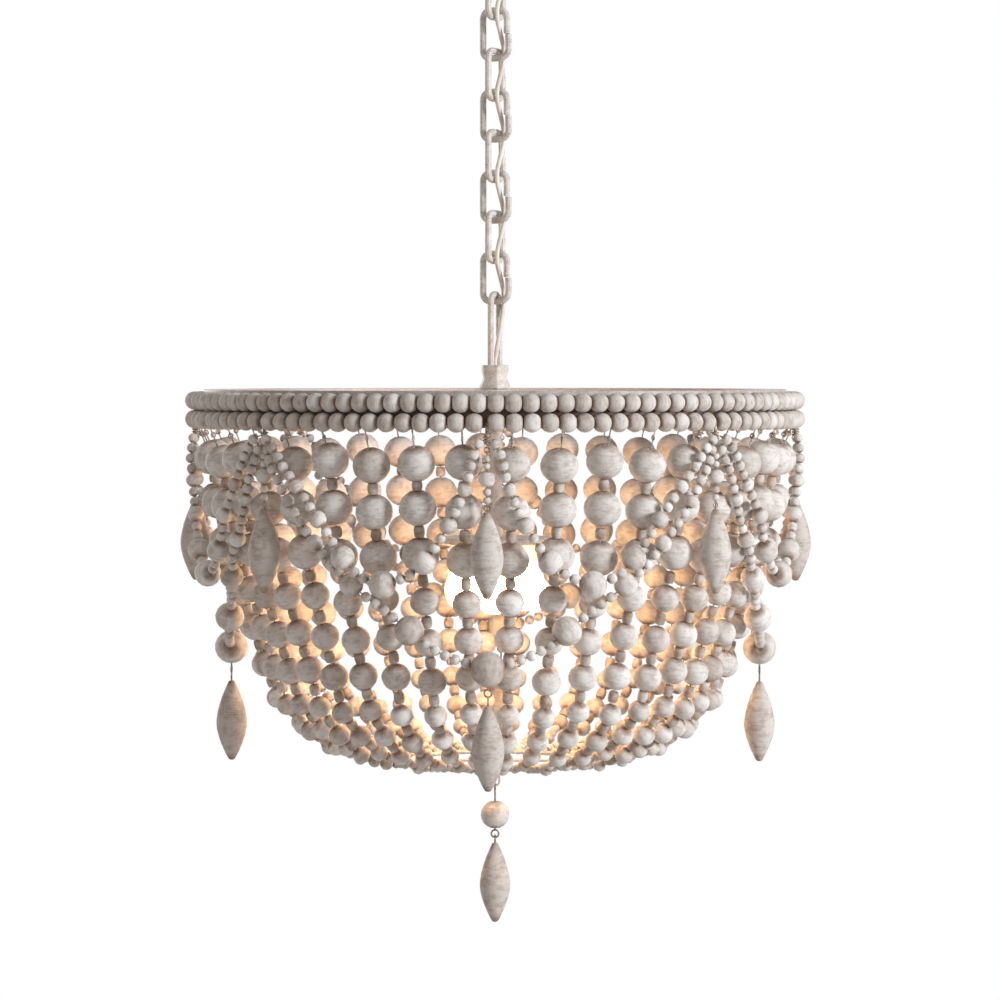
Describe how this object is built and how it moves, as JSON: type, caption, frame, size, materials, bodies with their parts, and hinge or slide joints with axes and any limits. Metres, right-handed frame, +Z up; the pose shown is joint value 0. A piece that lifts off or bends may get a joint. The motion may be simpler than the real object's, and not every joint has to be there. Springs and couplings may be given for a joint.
{
  "type": "beaded chandelier",
  "caption": "Bowl-shaped chandelier of whitewashed wooden bead strands on an iron hoop, with bead garlands and spindle drops, hung by a chain from a ceiling canopy.",
  "frame": {"origin": "centre of the canopy's top face, where it meets the ceiling", "axes": "+Z points up to the ceiling, -Y is the front that the picture shows, +X is to its right"},
  "size_m": [0.572, 0.5682, 0.9044],
  "materials": {
    "limed_wood": "turned beads with a chalky off-white wash rubbed back over grey-tan wood",
    "limed_iron": "iron with a worn off-white paint",
    "wire": "dark annealed wire",
    "lead_sheath": "pale supply lead",
    "bulb_glass": "frosted warm bulb"
  },
  "bodies": {
    "canopy": {"ceiling_canopy": "limed_iron", "canopy_loop": "limed_iron", "supply_lead": "lead_sheath"},
    "link_1": {"chain_link_1": "limed_iron"},
    "link_2": {"chain_link_2": "limed_iron"},
    "link_3": {"chain_link_3": "limed_iron"},
    "link_4": {"chain_link_4": "limed_iron"},
    "link_5": {"chain_link_5": "limed_iron"},
    "link_6": {"chain_link_6": "limed_iron"},
    "link_7": {"chain_link_7": "limed_iron"},
    "link_8": {"chain_link_8": "limed_iron"},
    "lamp_body": {"stem_loop": "limed_iron", "loop_collar": "limed_iron", "spider": "limed_iron", "stem": "limed_iron", "hoop": "limed_iron", "rim_beads_upper": "limed_wood", "bead_panel_1": "limed_wood", "bead_panel_2": "limed_wood", "bead_panel_3": "limed_wood", "bead_panel_4": "limed_wood", "bead_panel_5": "limed_wood", "bead_panel_6": "limed_wood", "bead_panel_7": "limed_wood", "bead_panel_8": "limed_wood", "bottom_ring": "limed_iron", "long_garland_1": "limed_wood", "long_garland_2": "limed_wood", "long_garland_3": "limed_wood", "long_garland_4": "limed_wood", "swag_1": "limed_wood", "swag_2": "limed_wood", "swag_3": "limed_wood", "swag_4": "limed_wood", "swag_5": "limed_wood", "swag_6": "limed_wood", "swag_7": "limed_wood", "swag_8": "limed_wood", "lamp_plate": "limed_iron", "lampholder_1": "limed_iron", "lampholder_2": "limed_iron", "lampholder_3": "limed_iron"},
    "drop_1": {"drop_1": "limed_wood"},
    "drop_2": {"drop_2": "limed_wood"},
    "drop_3": {"drop_3": "limed_wood"},
    "drop_4": {"drop_4": "limed_wood"},
    "drop_5": {"drop_5": "limed_wood"},
    "drop_6": {"drop_6": "limed_wood"},
    "drop_7": {"drop_7": "limed_wood"},
    "drop_8": {"drop_8": "limed_wood"},
    "lower_drop_1": {"lower_drop_1": "limed_wood"},
    "lower_drop_2": {"lower_drop_2": "limed_wood"},
    "lower_drop_3": {"lower_drop_3": "limed_wood"},
    "lower_drop_4": {"lower_drop_4": "limed_wood"},
    "bottom_bead": {"bottom_bead": "limed_wood"},
    "bottom_spindle": {"bottom_spindle": "limed_wood"},
    "bulb_1": {"bulb_1": "bulb_glass"},
    "bulb_2": {"bulb_2": "bulb_glass"},
    "bulb_3": {"bulb_3": "bulb_glass"}
  },
  "joints": [
    {"name": "chain_joint_1", "type": "hinge", "parent": "canopy", "child": "link_1", "pos_m": [0, 0, -0.0485], "axis": [0.8829, -0.4695, 0], "range_deg": [-10, 10], "deforming": ["supply_lead"]},
    {"name": "chain_joint_2", "type": "hinge", "parent": "link_1", "child": "link_2", "pos_m": [0, 0, -0.085], "axis": [0.4695, 0.8829, 0], "range_deg": [-10, 10]},
    {"name": "chain_joint_3", "type": "hinge", "parent": "link_2", "child": "link_3", "pos_m": [0, 0, -0.1215], "axis": [0.8829, -0.4695, 0], "range_deg": [-10, 10]},
    {"name": "chain_joint_4", "type": "hinge", "parent": "link_3", "child": "link_4", "pos_m": [0, 0, -0.158], "axis": [0.4695, 0.8829, 0], "range_deg": [-10, 10]},
    {"name": "chain_joint_5", "type": "hinge", "parent": "link_4", "child": "link_5", "pos_m": [0, 0, -0.1945], "axis": [0.8829, -0.4695, 0], "range_deg": [-10, 10]},
    {"name": "chain_joint_6", "type": "hinge", "parent": "link_5", "child": "link_6", "pos_m": [0, 0, -0.231], "axis": [0.4695, 0.8829, 0], "range_deg": [-10, 10]},
    {"name": "chain_joint_7", "type": "hinge", "parent": "link_6", "child": "link_7", "pos_m": [0, 0, -0.2675], "axis": [0.8829, -0.4695, 0], "range_deg": [-10, 10]},
    {"name": "chain_joint_8", "type": "hinge", "parent": "link_7", "child": "link_8", "pos_m": [0, 0, -0.304], "axis": [0.4695, 0.8829, 0], "range_deg": [-10, 10]},
    {"name": "chain_joint_9", "type": "hinge", "parent": "link_8", "child": "lamp_body", "pos_m": [0, 0, -0.3405], "axis": [0.8829, -0.4695, 0], "range_deg": [-10, 10]},
    {"name": "drop_1_swing", "type": "hinge", "parent": "lamp_body", "child": "drop_1", "pos_m": [0, -0.272, -0.46615], "axis": [-1, 0, 0], "range_deg": [0, 30]},
    {"name": "drop_2_swing", "type": "hinge", "parent": "lamp_body", "child": "drop_2", "pos_m": [0.19233, -0.19233, -0.46615], "axis": [-0.7071, -0.7071, 0], "range_deg": [0, 30]},
    {"name": "drop_3_swing", "type": "hinge", "parent": "lamp_body", "child": "drop_3", "pos_m": [0.272, 0, -0.46615], "axis": [0, -1, 0], "range_deg": [0, 30]},
    {"name": "drop_4_swing", "type": "hinge", "parent": "lamp_body", "child": "drop_4", "pos_m": [0.19233, 0.19233, -0.46615], "axis": [0.7071, -0.7071, 0], "range_deg": [0, 30]},
    {"name": "drop_5_swing", "type": "hinge", "parent": "lamp_body", "child": "drop_5", "pos_m": [0, 0.272, -0.46615], "axis": [1, 0, 0], "range_deg": [0, 30]},
    {"name": "drop_6_swing", "type": "hinge", "parent": "lamp_body", "child": "drop_6", "pos_m": [-0.19233, 0.19233, -0.46615], "axis": [0.7071, 0.7071, 0], "range_deg": [0, 30]},
    {"name": "drop_7_swing", "type": "hinge", "parent": "lamp_body", "child": "drop_7", "pos_m": [-0.272, 0, -0.46615], "axis": [0, 1, 0], "range_deg": [0, 30]},
    {"name": "drop_8_swing", "type": "hinge", "parent": "lamp_body", "child": "drop_8", "pos_m": [-0.19233, -0.19233, -0.46615], "axis": [-0.7071, 0.7071, 0], "range_deg": [0, 30]},
    {"name": "lower_drop_1_swing", "type": "hinge", "parent": "lamp_body", "child": "lower_drop_1", "pos_m": [0, -0.23972, -0.66945], "axis": [-1, 0, 0], "range_deg": [0, 30]},
    {"name": "lower_drop_2_swing", "type": "hinge", "parent": "lamp_body", "child": "lower_drop_2", "pos_m": [0.23972, 0, -0.66945], "axis": [0, -1, 0], "range_deg": [0, 30]},
    {"name": "lower_drop_3_swing", "type": "hinge", "parent": "lamp_body", "child": "lower_drop_3", "pos_m": [0, 0.23972, -0.66945], "axis": [1, 0, 0], "range_deg": [0, 30]},
    {"name": "lower_drop_4_swing", "type": "hinge", "parent": "lamp_body", "child": "lower_drop_4", "pos_m": [-0.23972, 0, -0.66945], "axis": [0, 1, 0], "range_deg": [0, 30]},
    {"name": "bottom_bead_swing", "type": "hinge", "parent": "lamp_body", "child": "bottom_bead", "pos_m": [0, 0, -0.78], "axis": [1, 0, 0], "range_deg": [-20, 20]},
    {"name": "bottom_spindle_swing", "type": "hinge", "parent": "bottom_bead", "child": "bottom_spindle", "pos_m": [0, 0, -0.8273], "axis": [1, 0, 0], "range_deg": [-20, 20]},
    {"name": "bulb_1_out", "type": "slide", "parent": "lamp_body", "child": "bulb_1", "axis": [0, 0, -1], "range_m": [0, 0.03]},
    {"name": "bulb_2_out", "type": "slide", "parent": "lamp_body", "child": "bulb_2", "axis": [0, 0, -1], "range_m": [0, 0.03]},
    {"name": "bulb_3_out", "type": "slide", "parent": "lamp_body", "child": "bulb_3", "axis": [0, 0, -1], "range_m": [0, 0.03]}
  ]
}
